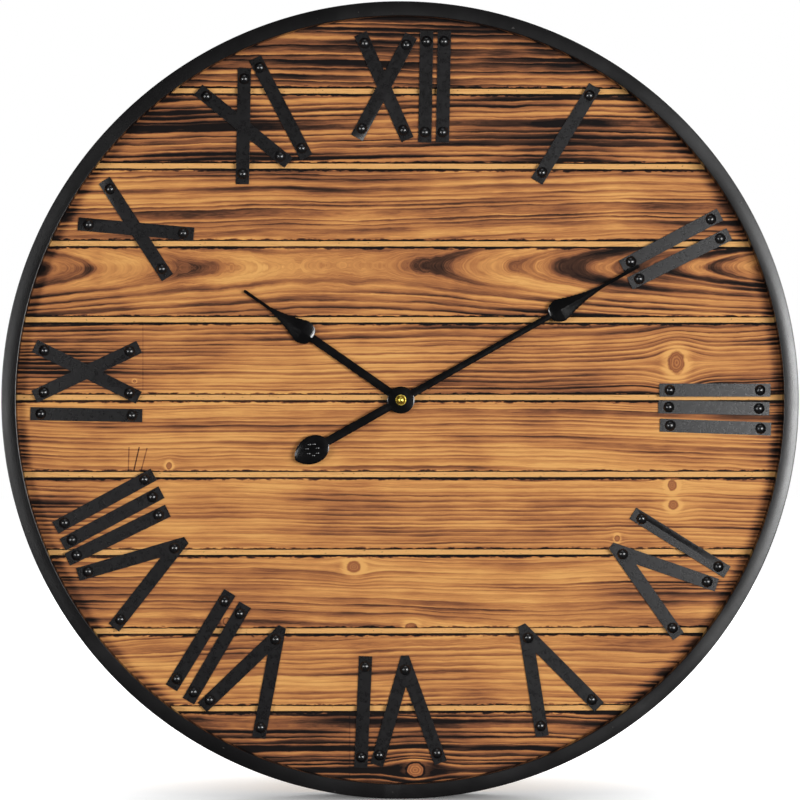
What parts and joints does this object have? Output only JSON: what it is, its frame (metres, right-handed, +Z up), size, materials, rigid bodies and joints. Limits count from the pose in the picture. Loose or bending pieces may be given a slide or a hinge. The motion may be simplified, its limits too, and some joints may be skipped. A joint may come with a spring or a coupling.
{
  "type": "wall clock",
  "caption": "Large round wall clock with a burnt plank face in a deep black steel ring, nailed flat-bar Roman numerals, leaf hands and a battery movement.",
  "frame": {"origin": "the hands' axis where it meets the wall, in the plane of the ring's back edge", "axes": "+Z up to the 12, +X to the right seen from the front, the face looks along -Y and the wall is on the +Y side"},
  "size_m": [0.7619, 0.048, 0.762],
  "materials": {
    "black_steel": "satin black powder coat",
    "burnt_pine": "torched pine, brushed and oiled",
    "numeral_steel": "matt black paint",
    "plain_pine": "plain sawn pine",
    "black_nail": "gloss black enamel",
    "zinc_steel": "zinc plated",
    "movement_plastic": "moulded matt black",
    "washer_rubber": "soft black rubber",
    "brass": "turned brass",
    "circuit_board": "green laminate",
    "copper_winding": "enamelled copper wire",
    "magnet_steel": "stamped electrical steel",
    "battery_wrap": "plain shrink wrap",
    "gear_plastic": "moulded acetal",
    "hand_black": "satin black lacquer"
  },
  "bodies": {
    "case": {"ring": "black_steel", "board_01": "burnt_pine", "board_02": "burnt_pine", "board_03": "burnt_pine", "board_04": "burnt_pine", "board_05": "burnt_pine", "board_06": "burnt_pine", "board_07": "burnt_pine", "board_08": "burnt_pine", "board_09": "burnt_pine", "board_10": "burnt_pine", "numeral_12_bars": "numeral_steel", "numeral_1_bars": "numeral_steel", "numeral_2_bars": "numeral_steel", "numeral_3_bars": "numeral_steel", "numeral_4_bars": "numeral_steel", "numeral_6_bars": "numeral_steel", "numeral_7_bars": "numeral_steel", "numeral_8_bars": "numeral_steel", "numeral_9_bars": "numeral_steel", "numeral_11_bars": "numeral_steel", "numeral_12_x": "numeral_steel", "numeral_9_x": "numeral_steel", "numeral_10_x": "numeral_steel", "numeral_11_x": "numeral_steel", "numeral_4_v": "numeral_steel", "numeral_5_v": "numeral_steel", "numeral_6_v": "numeral_steel", "numeral_7_v": "numeral_steel", "numeral_8_v": "numeral_steel", "nails": "black_nail", "batten_left": "plain_pine", "batten_right": "plain_pine", "hanger_plates": "zinc_steel", "rim_brackets": "black_steel", "wood_screws": "zinc_steel", "movement_case": "movement_plastic", "movement_cover": "movement_plastic", "rubber_washer": "washer_rubber", "face_washer": "brass", "fixing_nut": "brass", "circuit_board": "circuit_board", "quartz_crystal": "zinc_steel", "drive_coil": "copper_winding", "coil_core": "magnet_steel", "stator": "magnet_steel", "battery_contacts": "zinc_steel"},
    "minute": {"minute_arbor": "brass", "minute_hand": "hand_black", "cap_nut": "brass"},
    "hour": {"hour_wheel": "gear_plastic", "hour_hand": "hand_black"},
    "motion": {"motion_wheel": "gear_plastic", "setting_knob": "gear_plastic"},
    "reduction": {"reduction_wheel": "gear_plastic"},
    "seconds": {"seconds_wheel": "gear_plastic"},
    "third": {"third_wheel": "gear_plastic"},
    "centre": {"centre_wheel": "gear_plastic"},
    "rotor": {"rotor": "magnet_steel"},
    "cell": {"battery": "battery_wrap"}
  },
  "joints": [
    {"name": "minute_turn", "type": "hinge", "parent": "case", "child": "minute", "pos_m": [0, -0.015, 0], "axis": [0, 1, 0], "continuous": true},
    {"name": "hour_turn", "type": "hinge", "parent": "case", "child": "hour", "pos_m": [0, -0.015, 0], "axis": [0, 1, 0], "continuous": true},
    {"name": "motion_turn", "type": "hinge", "parent": "case", "child": "motion", "pos_m": [0.0086, -0.015, 0.00602], "axis": [0, 1, 0], "continuous": true},
    {"name": "reduction_turn", "type": "hinge", "parent": "case", "child": "reduction", "pos_m": [-0.00092, -0.015, 0.01046], "axis": [0, 1, 0], "continuous": true},
    {"name": "rotor_turn", "type": "hinge", "parent": "case", "child": "rotor", "pos_m": [0.00666, -0.015, 0.01483], "axis": [0, 1, 0], "continuous": true},
    {"name": "seconds_turn", "type": "hinge", "parent": "case", "child": "seconds", "pos_m": [0, -0.015, 0], "axis": [0, 1, 0], "continuous": true},
    {"name": "third_turn", "type": "hinge", "parent": "case", "child": "third", "pos_m": [-0.01005, -0.015, 0.00177], "axis": [0, 1, 0], "continuous": true},
    {"name": "centre_turn", "type": "hinge", "parent": "case", "child": "centre", "pos_m": [0, -0.015, 0], "axis": [0, 1, 0], "continuous": true},
    {"name": "battery_slide", "type": "slide", "parent": "case", "child": "cell", "axis": [0, 1, 0], "range_m": [0, 0.02]}
  ],
  "couplings": [
    {"joint": "hour_turn", "follows": "minute_turn", "ratio": 0.083333},
    {"joint": "motion_turn", "follows": "minute_turn", "ratio": -0.33333},
    {"joint": "rotor_turn", "follows": "reduction_turn", "ratio": -6},
    {"joint": "seconds_turn", "follows": "reduction_turn", "ratio": -0.2},
    {"joint": "third_turn", "follows": "reduction_turn", "ratio": 0.026667},
    {"joint": "centre_turn", "follows": "reduction_turn", "ratio": -0.0033333}
  ]
}
